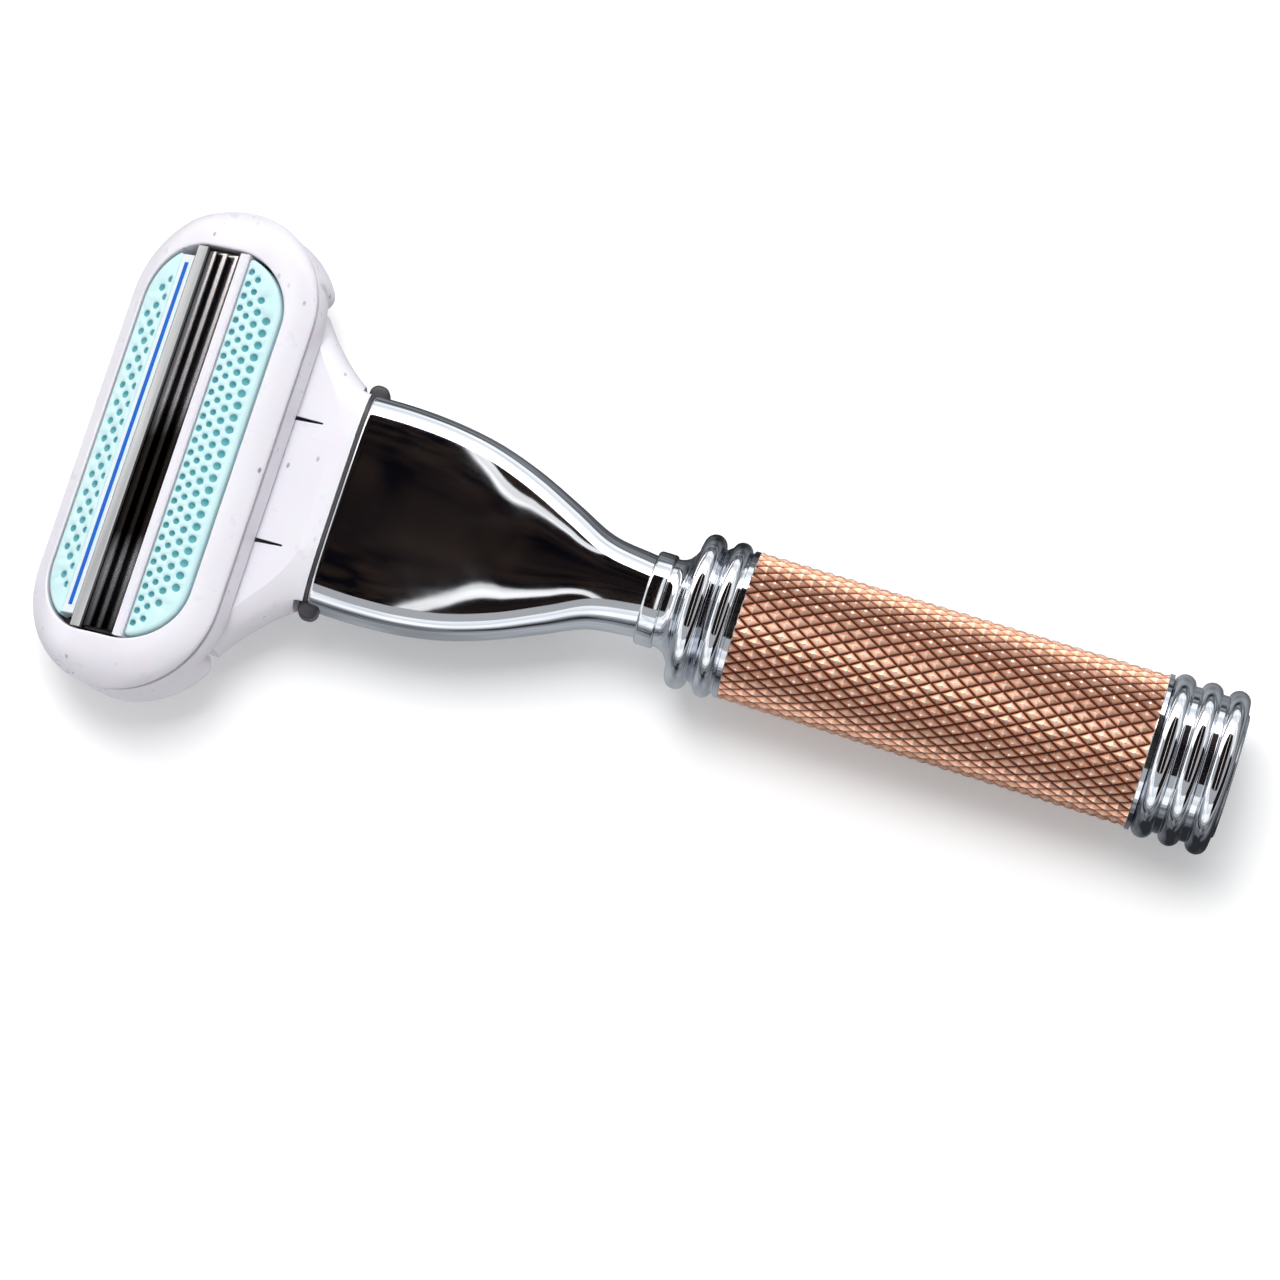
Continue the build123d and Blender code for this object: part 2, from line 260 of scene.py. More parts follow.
def rose_gold():
    """Copper plating, pale where the knurl is worn, with painted shade that darkens it down in
    its grooves.
    """
    s = Shader("rose_gold", Metallic=0.75, Roughness=0.2)
    depth = s.attribute("depth")
    tone = s.mix(s.noise(300.0), rgb(255, 197, 166), rgb(253, 184, 152))
    tip = s.mix(s.remap(depth, 0.3, 0.0), tone, rgb(255, 240, 226))
    # Painted shade: near black-brown deep in the knurl's grooves.
    s.colour(s.mix(s.remap(depth, 0.5, 0.95), tip, rgb(84, 34, 24)))
    s.rough(s.noise(900.0, 4.0), 0.2, 0.34)
    s.bump(s.noise(4000.0), COARSE, 0.3)
    return s.material


def dark_plastic():
    s = Shader("dark_plastic", Roughness=0.4)
    s.colour(s.mix(s.noise(400.0), rgb(72, 69, 74), rgb(50, 48, 53)))
    s.rough(s.noise(900.0), 0.3, 0.5)
    s.bump(s.noise(2500.0), FINE, 0.5)
    return s.material


def mint_rubber():
    s = Shader(
        "mint_rubber", Roughness=0.5, Subsurface_Weight=0.3, Subsurface_Scale=0.0008,
        Subsurface_Radius=(0.6, 1.0, 1.0),
    )
    s.colour(s.mix(s.noise(250.0), rgb(206, 235, 237), rgb(194, 227, 230)))
    s.rough(s.noise(1500.0), 0.42, 0.6)
    s.bump(s.noise(5000.0, 4.0), FINE, 0.5)
    return s.material


# Painted shade: a darker teal for the lower part of every pit.
def mint_pit_shade():
    s = Shader("mint_pit_shade", Roughness=0.6)
    s.colour(s.mix(s.noise(600.0), rgb(92, 164, 174), rgb(126, 192, 198)))
    s.bump(s.noise(4000.0), FINE, 0.4)
    return s.material


def strip_wax():
    """Waxy white with streaks along the strip."""
    s = Shader(
        "strip_wax", Roughness=0.25, IOR=1.45, Subsurface_Weight=0.5,
        Subsurface_Scale=0.001,
    )
    streak = s.noise(500.0, 4.0, 0.6, (1.0, 0.08, 1.0))
    s.colour(s.mix(streak, rgb(240, 243, 245), rgb(206, 213, 218)))
    s.rough(streak, 0.18, 0.36)
    s.bump(streak, COARSE, 0.5)
    return s.material


def blue_line():
    s = Shader("blue_line", Roughness=0.3, Specular_IOR_Level=0.2)
    s.colour(s.mix(s.noise(500.0), rgb(0, 98, 196), rgb(0, 82, 180)))
    s.rough(s.noise(1200.0), 0.25, 0.4)
    return s.material


def brushed_bar():
    """Metal brushed along the bar."""
    s = Shader("brushed_bar", Metallic=0.8, Roughness=0.35, Anisotropic=0.4)
    grain = s.noise(900.0, 4.0, 0.6, (1.0, 0.04, 1.0))
    s.colour(s.mix(grain, rgb(226, 228, 230), rgb(134, 136, 140)))
    s.rough(grain, 0.28, 0.45)
    s.bump(grain, COARSE, 0.6)
    return s.material


def blade_steel():
    """Ground steel with longer dark patches of painted reflection, for the surroundings that
    thin blades reflect.
    """
    s = Shader("blade_steel", Metallic=1.0, Roughness=0.2)
    grain = s.noise(1200.0, 3.0, 0.6, (1.0, 0.05, 1.0))
    bright = s.mix(grain, rgb(226, 226, 230), rgb(170, 170, 176))
    # Painted reflection: long dark patches along the steel.
    length = s.remap(s.noise(70.0, 2.0, 0.4, (0.2, 1.0, 0.2)), 0.44, 0.52)
    s.colour(s.mix(length, rgb(60, 54, 51), bright))
    s.rough(grain, 0.14, 0.28)
    s.bump(grain, FINE, 0.5)
    return s.material


def support_steel():
    s = Shader("support_steel", Metallic=1.0, Roughness=0.4)
    s.colour(s.mix(s.noise(800.0), rgb(90, 88, 90), rgb(60, 58, 60)))
    s.rough(s.noise(900.0), 0.3, 0.5)
    return s.material


def deck_plastic():
    s = Shader("deck_plastic", Roughness=0.4)
    s.colour(s.mix(s.noise(400.0), rgb(60, 56, 56), rgb(38, 35, 36)))
    s.bump(s.noise(2500.0), FINE, 0.5)
    return s.material


# ---------------------------------------------------------------- knurled sleeve
SLEEVE_LEN = 36.3
SLEEVE_R = (6.6, 6.8)
SLEEVE_BORE = 3.0
KNURL_AROUND = 72
KNURL_ALONG = 36
KNURL_DEPTH = 0.36
KNURL_CUT = 0.14  # share of each pyramid that is worn off
WEAR_SPREAD = (0.75, 0.5)  # least wear, and what chance adds to it
LINING_SINK = 1.02  # the inner wall's depth, in groove depths


def knurl_radius(j):
    return SLEEVE_R[0] + (SLEEVE_R[1] - SLEEVE_R[0]) * j / KNURL_ALONG


def knurl_point(i, j, drop):
    """Place on the sleeve at lattice step (i, j), a depth below the crest."""
    angle = tau * i / KNURL_AROUND
    r = knurl_radius(j) - drop
    return Vector((SLEEVE_LEN * j / KNURL_ALONG, r * cos(angle), r * sin(angle)))


def knurl_pyramid(bm, depth, grooves, i, j):
    """One cut-off pyramid between its four groove crossings."""
    least, more = WEAR_SPREAD
    worn = KNURL_CUT * (least + more * noise_value(i, j))
    drop = worn * KNURL_DEPTH
    around = [(1, 0), (0, 1), (-1, 0), (0, -1)]
    kept = [(a, b) for a, b in around if 0 <= j + b <= KNURL_ALONG]
    low = [grooves[(i + a) % KNURL_AROUND, j + b] for a, b in kept]
    top = [bm.verts.new(knurl_point(i + a * worn, j + b * worn, drop)) for a, b in kept]
    for vert in top:
        vert[depth] = 0.0
    whole = len(kept) == 4
    pairs = range(len(kept)) if whole else [
        k for k in range(3) if 0 in (kept[k][0], kept[(k + 1) % 3][0])
    ]
    for k in pairs:
        n = (k + 1) % len(kept)
        bm.faces.new((low[k], low[n], top[n], top[k]))
    bm.faces.new(top)


def knurled_sleeve():
    bm = bmesh.new()
    depth = bm.verts.layers.float.new("depth")
    grooves = {}
    for i in range(KNURL_AROUND):
        for j in range(KNURL_ALONG + 1):
            if (i + j) % 2:
                vert = bm.verts.new(knurl_point(i, j, KNURL_DEPTH))
                vert[depth] = 1.0
                grooves[i, j] = vert
    for i in range(KNURL_AROUND):
        for j in range(KNURL_ALONG + 1):
            if (i + j) % 2 == 0:
                knurl_pyramid(bm, depth, grooves, i, j)
    inset = KNURL_DEPTH * LINING_SINK
    lining = [(0.0, SLEEVE_R[0] - inset), (0.0, SLEEVE_BORE), (SLEEVE_LEN, SLEEVE_BORE)]
    lining.append((SLEEVE_LEN, SLEEVE_R[1] - inset))
    loft(bm, turned_rows(lining, KNURL_AROUND))
    return finish_mesh("knurled_sleeve", bm, HANDLE, sharp=20.0)


# ---------------------------------------------------------------- chrome turnings
RING_STEPS = 160
BEAD_STEPS = 20
FILLET_STEPS = 6
COLLAR_NOSE = -8.4
COLLAR_BACK = -6.5  # where the stud's bore widens to the sleeve's
# x, outer radius, size and floor radius
COLLAR_BEADS = [(-4.0, 6.9, 0.95, 5.75), (-1.6, 6.9, 0.85, 6.25)]
STUD_BORE = 1.8
CAP_END = 43.8
CAP_BEAD = (7.25, 0.98, 6.5)  # outer radius, size and floor radius
CAP_BEAD_FIRST = 1.45
CAP_BEAD_PITCH = 2.4
CAP_FILLET = 0.35
CAP_DISC = 5.2


def bead_arc(x, outer, size, floor_r):
    """Half-round bead profile standing on a floor radius."""
    centre = outer - size
    start = degrees(asin(max(-1.0, min(1.0, (floor_r - centre) / size))))
    return arc(x, centre, size, 180 - start, start, BEAD_STEPS)


def collar_profile():
    """(x, r) from the bore at the nose, over ring, waist, beads and rim, and back."""
    front = [(COLLAR_BACK, STUD_BORE), (COLLAR_NOSE, STUD_BORE), (COLLAR_NOSE, 3.55)]
    front += arc(-8.1, 3.85, 0.3, 180, 90, FILLET_STEPS)
    front += arc(-6.95, 3.9, 0.25, 90, 0, FILLET_STEPS)
    waist = [(-6.55, 3.92), (-6.3, 3.95), (-6.0, 4.05), (-5.7, 4.25), (-5.4, 4.6)]
    waist += [(-5.15, 5.05), (-4.98, 5.5)]
    beads = [point for bead in COLLAR_BEADS for point in bead_arc(*bead)]
    rim = [(-0.62, 6.25), (-0.5, 6.5), (-0.05, 6.5), (0.0, 6.45)]
    back = [(0.0, SLEEVE_BORE), (COLLAR_BACK, SLEEVE_BORE)]
    return front + waist + beads + rim + back


def cap_profile():
    """(x, r) from the bore, over rim and beads, to the end disc."""
    x0 = SLEEVE_LEN
    points = [(x0 + 5.2, SLEEVE_BORE), (x0, SLEEVE_BORE)]
    points += [(x0, 6.85), (x0 + 0.05, 6.9), (x0 + 0.42, 6.9)]
    for i in range(3):
        points += bead_arc(x0 + CAP_BEAD_FIRST + CAP_BEAD_PITCH * i, *CAP_BEAD)
    points.append((x0 + 7.28, 5.9))
    points += arc(CAP_END - CAP_FILLET, CAP_DISC, CAP_FILLET, 75, 0, FILLET_STEPS)
    return points + [(CAP_END, 4.0), (CAP_END, 2.0)]


def turned_piece(name, profile, closed=False):
    """A turning about the handle's axis, with a disc at both ends on request."""
    bm = bmesh.new()
    loft(bm, turned_rows(profile, RING_STEPS), (closed, closed))
    return finish_mesh(name, bm, HANDLE, sharp=30.0)


# ---------------------------------------------------------------- chrome neck
MOUTH = -35.9
# stations along the neck: x, half width, half height, power of the oval
NECK = [
    (MOUTH, 9.70, 3.80, 3.4), (-32.0, 9.75, 3.75, 3.4), (-28.0, 9.50, 3.65, 3.3),
    (-24.0, 8.80, 3.55, 3.1), (-20.0, 7.50, 3.45, 2.8), (-16.0, 5.75, 3.45, 2.5),
    (-12.5, 4.20, 3.50, 2.2), (COLLAR_NOSE, 3.65, 3.60, 2.0),
]
NECK_AROUND = 144
NECK_ALONG = 90
NECK_LIP = 0.3
LIP_STEPS = 6
POCKET = (8.2, 2.3, 8.6)  # half width, half height, depth
POCKET_POWER = 8.0
POCKET_CHAMFER = 0.2


def curve_value(stations, column, x):
    """Smooth value of one column of a station table at x."""
    last = len(stations) - 2
    k = max(i for i in range(last + 1) if stations[i][0] <= x or i == 0)
    p = [stations[min(max(k + d, 0), last + 1)] for d in (-1, 0, 1, 2)]
    span = p[2][0] - p[1][0]
    t = (x - p[1][0]) / span
    slope = [0.0, 0.0]
    for n, (a, b) in enumerate(((p[0], p[2]), (p[1], p[3]))):
        slope[n] = (b[column] - a[column]) / (b[0] - a[0]) * span
    h00 = 2 * t**3 - 3 * t**2 + 1
    h10 = t**3 - 2 * t**2 + t
    h01 = -2 * t**3 + 3 * t**2
    h11 = t**3 - t**2
    return h00 * p[1][column] + h10 * slope[0] + h01 * p[2][column] + h11 * slope[1]


def oval(x, w, h, n):
    """Superellipse ring at station x, with its points spread evenly in direction."""
    row = []
    for i in range(NECK_AROUND):
        a = tau * i / NECK_AROUND
        c, s = cos(a), sin(a)
        y = w * copysign(abs(c) ** (2 / n), c)
        z = h * copysign(abs(s) ** (2 / n), s)
        row.append((x, y, z))
    return row


def neck_section(x):
    return [curve_value(NECK, column, x) for column in (1, 2, 3)]


def neck_piece():
    """Pocket, rounded lip and outer skin, down to the stud's bore."""
    bm = bmesh.new()
    lip, cut = NECK_LIP, POCKET_CHAMFER
    wide, high, deep = POCKET
    rows = [
        oval(MOUTH + deep, wide, high, POCKET_POWER),
        oval(MOUTH + cut, wide, high, POCKET_POWER),
        oval(MOUTH, wide + cut, high + cut, POCKET_POWER),
    ]
    w0, h0, n0 = neck_section(MOUTH)
    for k in range(LIP_STEPS + 1):
        a = pi / 2 * k / LIP_STEPS
        grow = lip * (1 - sin(a))
        rows.append(oval(MOUTH + lip * (1 - cos(a)), w0 - grow, h0 - grow, n0))
    for k in range(1, NECK_ALONG + 1):
        x = MOUTH + lip + (NECK[-1][0] - MOUTH - lip) * k / NECK_ALONG
        rows.append(oval(x, *neck_section(x)))
    rows.append(oval(NECK[-1][0], STUD_BORE, STUD_BORE, 2.0))
    loft(bm, rows, (True, True))
    return finish_mesh("neck_body", bm, HANDLE, sharp=40.0)


# ---------------------------------------------------------------- head outlines
# The head's own axes are u across the blades, y along them and v out of the face.
FACE_R = 20.0
FACE_U = 0.5
FACE_TOP = 2.76
OPENING_U = -0.4
OPENING_W = 14.2
OPENING_LEN = 35.4
OPENING_R = 5.5
BEZEL_LEN = 43.6
BEZEL_W = 17.8
BEZEL_BASE = -0.2
BEZEL_RIM = 0.5
END_DROP = 5.8
END_RISE = 2.5
CROWN_BLEND = 0.35
DECK_FLOOR = 0.3
SIDE_STEPS = 24
CORNER_STEPS = 20
END_STEPS = 8
END_SPREAD = 10.0


def face_v(u):
    """Height of the crowned face."""
    return FACE_TOP - FACE_R + sqrt(FACE_R**2 - (u - FACE_U) ** 2)


def end_v(y):
    """Height that rounds the two ends of the head."""
    over = max(0.0, abs(y) - (BEZEL_LEN / 2 - END_DROP)) / END_DROP
    return BEZEL_RIM + END_RISE * sqrt(max(0.0, 1 - over**2))


def soft_min(a, b, k=CROWN_BLEND):
    h = max(k - abs(a - b), 0.0) / k
    return min(a, b) - h * h * k / 4


def crown_v(u, y):
    return soft_min(face_v(u), end_v(y))


def opening_loop():
    """Quarter by quarter, the rounded opening as (u, y) points."""
    half_w = OPENING_W / 2
    half_l = OPENING_LEN / 2
    r = OPENING_R
    quarter = [(half_w, (half_l - r) * i / SIDE_STEPS) for i in range(SIDE_STEPS)]
    quarter += arc(half_w - r, half_l - r, r, 0, 90, CORNER_STEPS)
    quarter += [((half_w - r) * (1 - i / END_STEPS), half_l) for i in range(1, END_STEPS)]
    return mirrored(quarter, (0.0, half_l), OPENING_U)


def bezel_outline(grow=0.0):
    """The bezel's stadium outline, point for point against opening_loop."""
    r = BEZEL_W / 2 + grow
    straight = BEZEL_LEN / 2 - BEZEL_W / 2
    quarter = [(r, straight * i / SIDE_STEPS) for i in range(SIDE_STEPS)]
    quarter += arc(0.0, straight, r, 0, 90 - END_SPREAD, CORNER_STEPS)
    quarter += arc(0.0, straight, r, 90 - END_SPREAD, 90, END_STEPS)[1:-1]
    return mirrored(quarter, (0.0, straight + r), 0.0)


def mirrored(quarter, end, shift):
    """A quarter outline from (+u, 0) to the +y end, carried round the whole loop."""
    upper = quarter + [end] + [(-u, y) for u, y in reversed(quarter)]
    lower = [(u, -y) for u, y in reversed(upper[1:-1])]
    return [(u + shift, y) for u, y in upper + lower]


# ---------------------------------------------------------------- front bezel
ROUND_OVER = 2.6
ROUND_POWER = 2.3
BEZEL_STEPS = 26
BEZEL_SPREAD = 1.7
INNER_EDGE = 0.22
EDGE_STEPS = 5
SIDE_BASE = 0.42
# (inset, lift) of the groove where the bezel parts from the rear shell
UNDERCUT = [(0.40, 0.0), (0.24, 0.05), (0.10, 0.16), (0.02, 0.30)]


def bezel_height(u, y, from_edge):
    """Crown that rolls over into the side wall near the outer edge."""
    reach = min(1.0, from_edge / ROUND_OVER)
    roll = (1 - (1 - reach) ** ROUND_POWER) ** (1 / ROUND_POWER)
    base = BEZEL_BASE + SIDE_BASE
    return base + (crown_v(u, y) - base) * roll


def bezel_piece():
    """Ring from its undercut foot over the crown to the rounded edge of the opening."""
    bm = bmesh.new()
    inner = opening_loop()
    outer = bezel_outline()
    edge = INNER_EDGE
    rows = [
        [(u, y, BEZEL_BASE + lift) for u, y in bezel_outline(-inset)]
        for inset, lift in UNDERCUT
    ]
    for k in range(BEZEL_STEPS + 1):
        share = (k / BEZEL_STEPS) ** BEZEL_SPREAD
        row = []
        for (iu, iy), (ou, oy) in zip(inner, outer):
            width = sqrt((ou - iu) ** 2 + (oy - iy) ** 2)
            stop = 1 - edge / width
            u = ou + (iu - ou) * share * stop
            y = oy + (iy - oy) * share * stop
            row.append((u, y, bezel_height(u, y, width * share * stop)))
        rows.append(row)
    for k in range(1, EDGE_STEPS + 1):
        a = pi / 2 * k / EDGE_STEPS
        row = []
        for (iu, iy), (ou, oy) in zip(inner, outer):
            width = sqrt((ou - iu) ** 2 + (oy - iy) ** 2)
            off = edge * (1 - sin(a)) / width
            u = iu + (ou - iu) * off
            y = iy + (oy - iy) * off
            row.append((u, y, bezel_height(u, y, width) - edge * (1 - cos(a))))
        rows.append(row)
    rows.append([(u, y, BEZEL_BASE) for u, y in inner])
    rows.append(rows[0])
    loft(bm, rows)
    return finish_mesh("front_bezel_shell", bm, HEAD, sharp=50.0)


# ---------------------------------------------------------------- cushions
CUSHION_INSET = 0.27
CUSHION_ROUND = 0.3
ROUND_STEPS = 6
TURN_STEPS = 8
FACE_SINK = 0.02
POINT_GAP = 1e-4
CDT_GAP = 1e-6
PIT_STEPS = 14
PIT_DEPTH = 0.5
PIT_SHRINK = 0.999  # keeps a triangle on a pit's rim out of the pit
# Below these loops a pit turns the darker teal of painted shade.
PIT_WALL = 3  # loops of a pit that still have the cushion's own colour
# (share of the radius, share of the depth) from a pit's rim to its floor
PIT_PROFILE = [(1.0, 0.0), (0.94, 0.06), (0.84, 0.20), (0.66, 0.50), (0.42, 0.82), (0.15, 1.0)]
# each cushion's flat edge in u, the pitch of its pits, and its rows of (u, radius, count)
GUARD_EDGE = 2.33
GUARD_PITCH = 1.11
GUARD_PITS = [(2.82, 0.33, 30), (3.58, 0.32, 29), (4.44, 0.37, 26), (5.42, 0.42, 23)]
CAP_EDGE = -4.35
CAP_PITCH = 1.66
CAP_PITS = [(-4.82, 0.34, 18), (-5.50, 0.40, 17), (-6.22, 0.38, 14)]


def d_outline(u_flat, side, inset):
    """(point, normal) pairs of a cushion: flat towards the blades, round outside."""
    half_w = OPENING_W / 2 - CUSHION_INSET
    half_l = OPENING_LEN / 2 - CUSHION_INSET
    r = OPENING_R - CUSHION_INSET
    cu, cy = half_w - r, half_l - r
    flat = side * (u_flat - OPENING_U) + inset
    tight = r - inset
    start = degrees(acos(max(-1.0, min(1.0, (flat - cu) / tight))))
    quarter = [((cu + tight, cy * i / SIDE_STEPS), 0.0) for i in range(SIDE_STEPS)]
    for i in range(CORNER_STEPS + 1):
        a = start * i / CORNER_STEPS
        point = (cu + tight * cos(radians(a)), cy + tight * sin(radians(a)))
        quarter.append((point, a))
    corner = quarter[-1][0]
    for i in range(1, TURN_STEPS + 1):
        quarter.append((corner, start + (180 - start) * i / TURN_STEPS))
    for i in range(1, SIDE_STEPS):
        quarter.append(((corner[0], corner[1] * (1 - i / SIDE_STEPS)), 180.0))
    pairs = []
    for (u, y), a in quarter:
        pairs.append(((u, y), (cos(radians(a)), sin(radians(a)))))
    pairs.append(((corner[0], 0.0), (-1.0, 0.0)))
    back = [((u, -y), (nu, -ny)) for (u, y), (nu, ny) in reversed(pairs[1:-1])]
    return [
        ((side * u + OPENING_U, y), (side * nu, ny)) for (u, y), (nu, ny) in pairs + back
    ]


def pit_rows(spec, pitch):
    """(u, y, radius) of every pit, each row centred on the cushion."""
    return [
        (u, pitch * (i - (count - 1) / 2), radius)
        for u, radius, count in spec
        for i in range(count)
    ]


def raised(u, y, drop=0.0):
    """A point on a cushion's face, or a drop below it."""
    return (u, y, face_v(u) - FACE_SINK - drop)


def cushion_sides(bm, outline):
    """Bottom, wall and rounded edge of a cushion."""
    rows = [[
        (u + nu * CUSHION_ROUND, y + ny * CUSHION_ROUND, DECK_FLOOR)
        for (u, y), (nu, ny) in outline
    ]]
    for k in range(ROUND_STEPS + 1):
        a = pi / 2 * k / ROUND_STEPS
        out = CUSHION_ROUND * cos(a)
        rows.append([
            raised(u + nu * out, y + ny * out, CUSHION_ROUND * (1 - sin(a)))
            for (u, y), (nu, ny) in outline
        ])
    loft(bm, rows, (True, False))


def pitted_face(bm, outline, pits):
    """Triangles over the face, with a hole for every pit."""
    plan = []
    for (u, y), _ in outline:
        if not plan or (Vector((u, y)) - plan[-1]).length > POINT_GAP:
            plan.append(Vector((u, y)))
    points = list(plan)
    loops = [list(range(len(plan)))]
    for u, y, r in pits:
        loops.append(list(range(len(points), len(points) + PIT_STEPS)))
        points += [Vector(p) for p in arc(u, y, r, 0, 360, PIT_STEPS)[:-1]]
    edges = [(a, b) for loop in loops for a, b in zip(loop, loop[1:] + loop[:1])]
    made = delaunay_2d_cdt(points, edges, [loops[0]], 1, CDT_GAP)
    verts = [bm.verts.new(raised(p.x, p.y)) for p in made[0]]
    centres = [(Vector((u, y)), r * r * PIT_SHRINK) for u, y, r in pits]
    for tri in made[2]:
        middle = sum((made[0][i] for i in tri), Vector((0, 0))) / len(tri)
        if all((middle - c).length_squared > rr for c, rr in centres):
            bm.faces.new([verts[i] for i in tri])


def sink_pits(bm, pits):
    """Conical pits, with the second material, a darker teal of painted shade, in their lower
    part.
    """
    for u, y, r in pits:
        loops = []
        for share, drop in PIT_PROFILE:
            ring = arc(u, y, r * share, 0, 360, PIT_STEPS)[:-1]
            loops.append([bm.verts.new(raised(a, b, drop * PIT_DEPTH)) for a, b in ring])
        bridge(bm, loops[:PIT_WALL])
        bridge(bm, loops[PIT_WALL - 1:], material=1)
        bm.faces.new(loops[-1]).material_index = 1


def cushion_piece(name, u_flat, side, pits):
    bm = bmesh.new()
    outline = d_outline(u_flat, side, CUSHION_ROUND)
    cushion_sides(bm, outline)
    pitted_face(bm, outline, pits)
    sink_pits(bm, pits)
    return finish_mesh(name, bm, HEAD, sharp=60.0)


# ---------------------------------------------------------------- stage
CAMERA_AT = (29.41, -96.01, 503.7)  # in the handle's frame
CAMERA_AZIMUTH = radians(21.98)
CAMERA_ELEVATION = radians(78.83)
CAMERA_ROLL = radians(-4.44)
LENS = 168.75
SENSOR = 36.0
CLIP = (0.01, 20.0)
ORIGIN = (0.0, 0.0, 0.0)

FLOOR_HALF = 1.5
FLOOR_DROP = 0.0001
FLOOR_GLOW = 0.17
WORLD_TINT = (0.985, 0.99, 1.0, 1.0)
WORLD_LIGHT = 0.5
EDGE_LIGHT = ((0.02, 0.62, 0.42), (0.5, 0.25), 1.2)
KEY_AT = (-0.15, 0.23, 0.68)
KEY_SIZE = (0.38, 0.38)
KEY_GLOW = (8.6, 8.6, 8.6)

DARK, BROWN = (0.003, 0.003, 0.005), (0.030, 0.019, 0.015)
SHADE, SLATE = (0.03, 0.032, 0.036), (0.52, 0.54, 0.57)
SILVER, WARM = (0.90, 0.93, 0.97), (0.9, 0.88, 0.85)
BRIGHT, WHITE = (1.5, 1.48, 1.45), (1.5, 1.5, 1.5)
GLINT = (4.6, 4.2, 3.8)
CARD_GRAIN = 2.2  # waves across a card between its two tones
CARD_SPAN = (0.4, 0.68)
# name, place, size, two tones, then for some the height it faces and its grain
CARDS = [
    ("neck_card", (-0.29, 0.25, 0.75), (0.55, 1.54), DARK, BROWN, 0.0, 13.0),
    ("sleeve_card", (0.013, 0.2, 0.75), (0.045, 1.4), WARM, BRIGHT, 0.0),
    ("cap_card", (0.25, 0.25, 0.75), (0.42, 1.54), DARK, BROWN, 0.0),
    ("left_card", (-0.8, 0.0, 0.22), (0.9, 0.25), BRIGHT, WHITE),
    ("right_card", (0.75, -0.3, 0.36), (1.2, 0.45), DARK, BROWN),
    ("glint_card", (-0.62, 0.62, 0.50), (0.9, 0.55), BRIGHT, GLINT),
    ("back_card", (0.66, 0.66, 0.50), (0.9, 0.45), WARM, WHITE),
    ("front_card", (-0.66, -0.66, 0.45), (0.9, 0.45), SILVER, WHITE),
    ("far_card", (0.1, 1.15, 0.25), (1.1, 0.5), SILVER, WHITE),
    ("near_card", (0.0, -0.80, 0.30), (1.0, 0.45), SILVER, WHITE),
    ("blade_card", (-0.33, 0.145, 0.0004), (0.46, 0.225), GLINT, GLINT, 1.0),
    ("floor_card", (0.0, 0.0, -0.00005), (2.6, 2.6), SHADE, SLATE, 1.0, 70.0),
]


def camera():
    """A camera given by its place and angles in the handle's frame."""
    a, e, r = CAMERA_AZIMUTH, CAMERA_ELEVATION, CAMERA_ROLL
    back = Vector((sin(a) * cos(e), -cos(a) * cos(e), sin(e)))
    right = Vector((cos(a), sin(a), 0))
    up = back.cross(right)
    turned = Matrix((right * cos(r) + up * sin(r), up * cos(r) - right * sin(r), back))
    data = bpy.data.cameras.new("camera")
    data.lens = LENS
    data.sensor_width = SENSOR
    data.clip_start, data.clip_end = CLIP
    eye = bpy.data.objects.new("camera", data)
    bpy.context.scene.collection.objects.link(eye)
    spin = HANDLE.to_3x3().normalized() @ turned.transposed()
    eye.matrix_world = Matrix.Translation(HANDLE @ Vector(CAMERA_AT)) @ spin.to_4x4()
    bpy.context.scene.camera = eye


def facing(at, aim):
    """A place, turned so that its -Z axis points at another."""
    turn = (Vector(aim) - Vector(at)).to_track_quat("-Z", "Y").to_matrix().to_4x4()
    return Matrix.Translation(at) @ turn


def flat_sheet(name, half):
    bm = bmesh.new()
    bmesh.ops.create_grid(bm, x_segments=1, y_segments=1, size=half)
    mesh = bpy.data.meshes.new(name)
    bm.to_mesh(mesh)
    bm.free()
    sheet = bpy.data.objects.new(name, mesh)
    bpy.context.scene.collection.objects.link(sheet)
    return sheet


def panel(name, at, size, dark, light, level=None, grain=CARD_GRAIN, lamp=False):
    """A card that only reflections see, or a lamp that only lights rough surfaces.

    It faces the origin, or straight up or down towards the height that level gives.
    """
    card = flat_sheet(name, 0.5)
    aim = ORIGIN if level is None else (at[0], at[1], level)
    card.matrix_world = facing(at, aim) @ Matrix.Diagonal((*size, 1, 1))
    s = Shader(
        name, Roughness=1.0, Base_Color=(0, 0, 0, 1), Specular_IOR_Level=0.0,
        Emission_Strength=1.0,
    )
    patch = s.remap(s.noise(grain), *CARD_SPAN)
    s.feed(s.main.inputs["Emission Color"], s.mix(patch, (*dark, 1.0), (*light, 1.0)))
    card.data.materials.append(s.material)
    card.visible_camera = False
    card.visible_diffuse = lamp
    card.visible_glossy = not lamp
    card.visible_shadow = False
    card.visible_transmission = False


def soft_light(name, at, size, power):
    data = bpy.data.lights.new(name, "AREA")
    data.shape = "RECTANGLE"
    data.size, data.size_y = size
    data.energy = power
    lamp = bpy.data.objects.new(name, data)
    bpy.context.scene.collection.objects.link(lamp)
    lamp.matrix_world = facing(at, ORIGIN)


def floor():
    ground = flat_sheet("floor", FLOOR_HALF)
    s = Shader(
        "floor", Roughness=0.7, Specular_IOR_Level=0.2,
        Emission_Color=(1.0, 1.0, 1.0, 1.0), Emission_Strength=FLOOR_GLOW,
    )
    s.colour(s.mix(s.noise(8.0), (0.9, 0.9, 0.905, 1), (0.88, 0.88, 0.885, 1)))
    ground.data.materials.append(s.material)
    ground.location.z = -FLOOR_DROP
    ground.visible_glossy = False


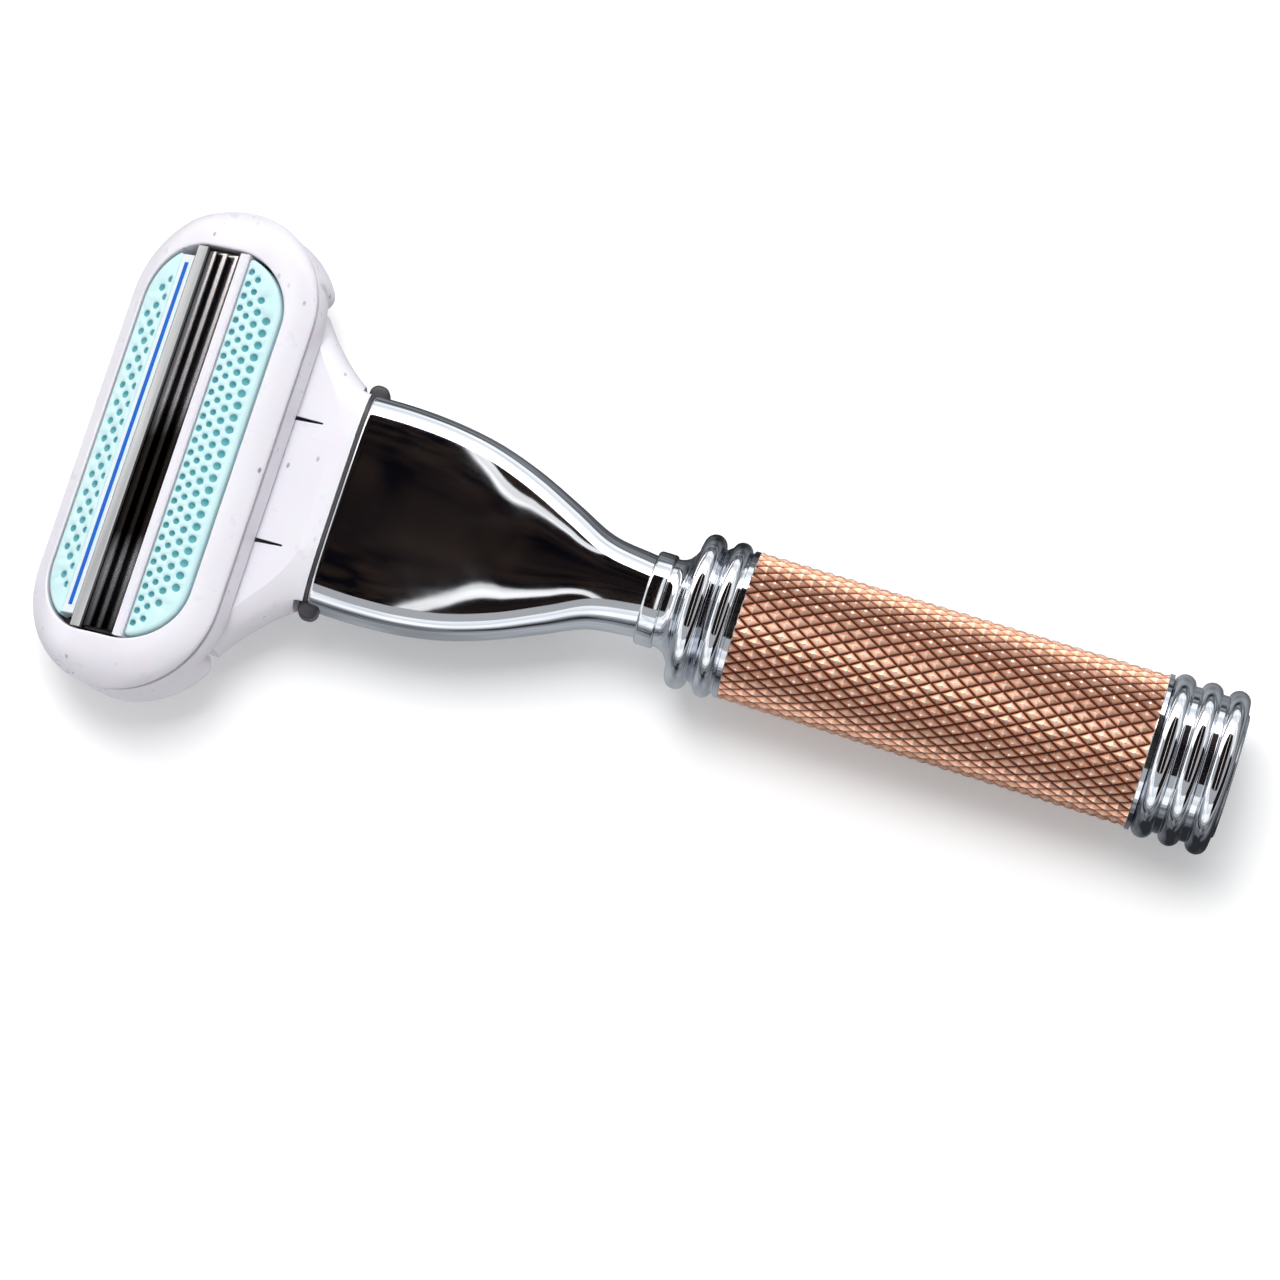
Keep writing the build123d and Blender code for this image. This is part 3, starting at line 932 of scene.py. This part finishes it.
def studio():
    scene = bpy.context.scene
    scene.view_settings.view_transform = "Standard"
    scene.view_settings.look = "None"
    world = bpy.data.worlds.new("studio")
    world.use_nodes = True
    background = world.node_tree.nodes["Background"]
    background.inputs["Color"].default_value = WORLD_TINT
    background.inputs["Strength"].default_value = WORLD_LIGHT
    scene.world = world
    floor()
    soft_light("edge_light", *EDGE_LIGHT)
    panel("key", KEY_AT, KEY_SIZE, KEY_GLOW, KEY_GLOW, lamp=True)
    for card in CARDS:
        panel(*card)
    camera()


# ---------------------------------------------------------------- build
CAD_WELD = 0.000002  # metres
BEVEL_STEPS = 3
BEVEL_ANGLE = radians(35.0)
SOFT_EDGE = 0.25


def paint(material, *nodes):
    """A shown CAD node takes a better material."""
    for name in nodes:
        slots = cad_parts[name].data.materials
        slots.clear()
        slots.append(material)


def soften(node):
    """Rounds a shown CAD node's edges."""
    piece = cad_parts[node]
    weld = piece.modifiers.new("weld", "WELD")
    weld.merge_threshold = CAD_WELD
    bevel = piece.modifiers.new("bevel", "BEVEL")
    bevel.width = SOFT_EDGE * MM
    bevel.segments = BEVEL_STEPS
    bevel.limit_method = "ANGLE"
    bevel.angle_limit = BEVEL_ANGLE
    bevel.harden_normals = True


def handle_pieces():
    metal = chrome()
    sleeve = knurled_sleeve()
    settle(sleeve, "handle", ["handle_sleeve"], "rose_gold", rose_gold())
    collar = turned_piece("neck_collar", collar_profile())
    settle(collar, "handle", ["front_collar"], "chrome", metal)
    cap = turned_piece("end_cap", cap_profile(), closed=True)
    settle(cap, "handle", ["rear_cap"], "chrome", metal)
    neck = neck_piece()
    settle(neck, "handle", ["neck_shell"], "chrome", metal)
    dark = dark_plastic()
    paint(dark, "docking_insert", "release_tab_left", "release_tab_right")
    paint(blade_steel(), "handle_core", "neck_stud", "tab_pins")


def head_pieces():
    white = white_plastic()
    mint, pit = mint_rubber(), mint_pit_shade()
    bezel = bezel_piece()
    settle(bezel, "head", ["front_bezel"], "white_plastic", white)
    guard = cushion_piece("guard_pad", GUARD_EDGE, 1, pit_rows(GUARD_PITS, GUARD_PITCH))
    settle(guard, "head", ["guard_cushion"], "mint_foam", mint, pit)
    cap = cushion_piece("cap_pad", CAP_EDGE, -1, pit_rows(CAP_PITS, CAP_PITCH))
    settle(cap, "head", ["cap_cushion"], "mint_foam", mint, pit)
    paint(white, "rear_shell", "yoke", "guard_bar")
    soften("yoke")
    soften("rear_shell")
    paint(deck_plastic(), "blade_frame")
    paint(strip_wax(), "lubricating_strip")
    paint(blue_line(), "strip_line")
    paint(brushed_bar(), "cap_bar")
    paint(blade_steel(), "blade_1", "blade_2", "blade_3")
    paint(support_steel(), "blade_support_1", "blade_support_2", "blade_support_3")


handle_pieces()
head_pieces()
studio()
